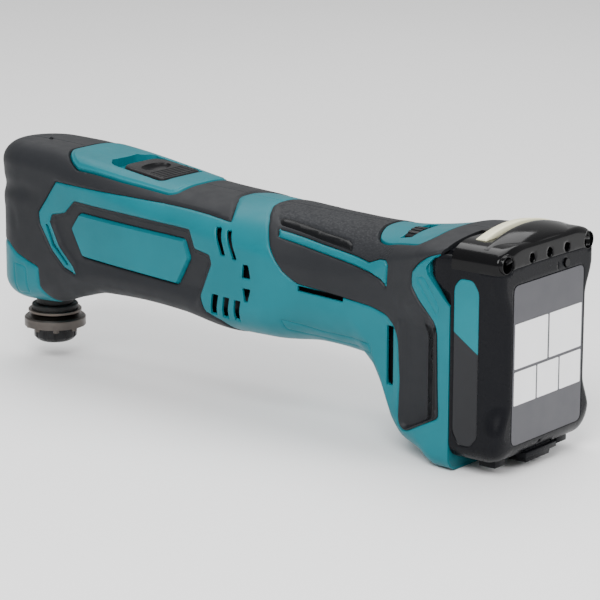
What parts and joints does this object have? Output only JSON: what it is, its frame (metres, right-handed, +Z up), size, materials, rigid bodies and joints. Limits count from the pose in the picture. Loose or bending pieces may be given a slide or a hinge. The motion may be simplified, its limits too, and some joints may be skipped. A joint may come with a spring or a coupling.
{
  "type": "cordless oscillating multi-tool",
  "caption": "Handheld cordless oscillating multi-tool: a swinging spindle with a bolt-on tool flange at the head, a slide switch, a speed dial and a slide-on battery.",
  "frame": {"origin": "on the spindle axis, in the seat face of the tool flange", "axes": "+X from the head towards the battery, +Z up along the spindle, -Y the tool's right-hand side"},
  "size_m": [0.2813, 0.065, 0.098],
  "materials": {
    "shell_plastic": "fine-grained moulded plastic, mid blue-green",
    "grip_rubber": "moulded elastomer, dark grey",
    "black_rubber": "matt",
    "steel": "ground",
    "flange_steel": "turned and hardened",
    "bronze_steel": "oil-darkened",
    "black_steel": "black oxide",
    "zinc_steel": "zinc plated",
    "cast_aluminium": "die cast",
    "magnet": "sintered ferrite",
    "carbon": "pressed carbon",
    "copper": "copper",
    "brass": "satin",
    "black_plastic": "satin",
    "board": "solder mask",
    "wire": "insulated lead",
    "clear_plastic": "clear",
    "battery_plastic": "satin black",
    "gloss_black": "gloss",
    "label_film": "printed film, blank",
    "badge_film": "printed film, blank",
    "cell_wrap": "shrink sleeve",
    "cream_plastic": "moulded plastic, cream"
  },
  "bodies": {
    "tool": {"housing_right": "shell_plastic", "housing_left": "shell_plastic", "housing_screws": "steel", "grip_front_right": "grip_rubber", "grip_front_left": "grip_rubber", "grip_rear_right": "grip_rubber", "grip_rear_left": "grip_rubber", "badge_plates": "shell_plastic", "switch_cover": "shell_plastic", "dial_bezel": "shell_plastic", "gear_case": "cast_aluminium", "neck_seal": "black_rubber", "lower_bearing": "steel", "upper_bearing": "steel", "motor_can": "zinc_steel", "motor_magnets": "magnet", "motor_end_bell": "black_plastic", "carbon_brushes": "carbon", "brush_springs": "steel", "motor_front_bearing": "steel", "motor_rear_bearing": "steel", "switch_body": "black_plastic", "speed_potentiometer": "black_plastic", "control_board": "board", "lamp_lens": "clear_plastic", "lamp_board": "board", "lamp_lead": "wire", "power_leads": "wire", "terminal_block": "black_plastic", "terminal_blades": "brass"},
    "spindle": {"spindle": "steel", "swing_arm": "steel", "tool_flange": "flange_steel", "retaining_ring": "bronze_steel", "dust_cap": "black_steel"},
    "clamp_bolt": {"clamp_bolt": "black_steel"},
    "rotor": {"armature": "zinc_steel", "commutator": "copper", "motor_shaft": "steel", "counterweight": "brass", "cooling_fan": "black_plastic", "eccentric_bearing": "steel"},
    "switch": {"switch_knob": "black_plastic", "switch_rod": "black_plastic"},
    "dial": {"speed_dial": "shell_plastic"},
    "battery": {"battery_front_case": "battery_plastic", "battery_rear_case": "battery_plastic", "battery_contacts": "brass", "battery_board": "board", "gauge_panel": "gloss_black", "charge_lamps": "clear_plastic", "battery_label": "label_film", "battery_badges": "badge_film", "battery_screws": "steel", "battery_cells": "cell_wrap", "cell_holders": "black_plastic", "battery_top_plate": "battery_plastic"},
    "latch": {"latch_button": "cream_plastic", "latch_hook": "black_plastic"},
    "check_button": {"check_button": "black_rubber"}
  },
  "joints": [
    {"name": "rotor_spin", "type": "hinge", "parent": "tool", "child": "rotor", "pos_m": [0.08, 0, 0.047], "axis": [1, 0, 0], "continuous": true},
    {"name": "spindle_swing", "type": "hinge", "parent": "tool", "child": "spindle", "pos_m": [0, 0, 0], "axis": [0, 0, 1], "range_deg": [-1.6, 1.6]},
    {"name": "clamp_bolt_release", "type": "slide", "parent": "spindle", "child": "clamp_bolt", "axis": [0, 0, -1], "range_m": [0, 0.02]},
    {"name": "switch_slide", "type": "slide", "parent": "tool", "child": "switch", "axis": [-0.9935, 0, 0.114], "range_m": [0, 0.007]},
    {"name": "speed_dial_turn", "type": "hinge", "parent": "tool", "child": "dial", "pos_m": [0.203, -0.0055, 0.0619], "axis": [1, 0, 0], "range_deg": [-135, 135]},
    {"name": "battery_slide", "type": "slide", "parent": "tool", "child": "battery", "axis": [0, 0, 1], "range_m": [0, 0.1]},
    {"name": "latch_press", "type": "slide", "parent": "battery", "child": "latch", "axis": [1, 0, 0], "range_m": [0, 0.0025], "stiffness_N_per_m": 1200},
    {"name": "check_button_press", "type": "slide", "parent": "battery", "child": "check_button", "axis": [-1, 0, 0], "range_m": [0, 0.0006], "stiffness_N_per_m": 800}
  ]
}
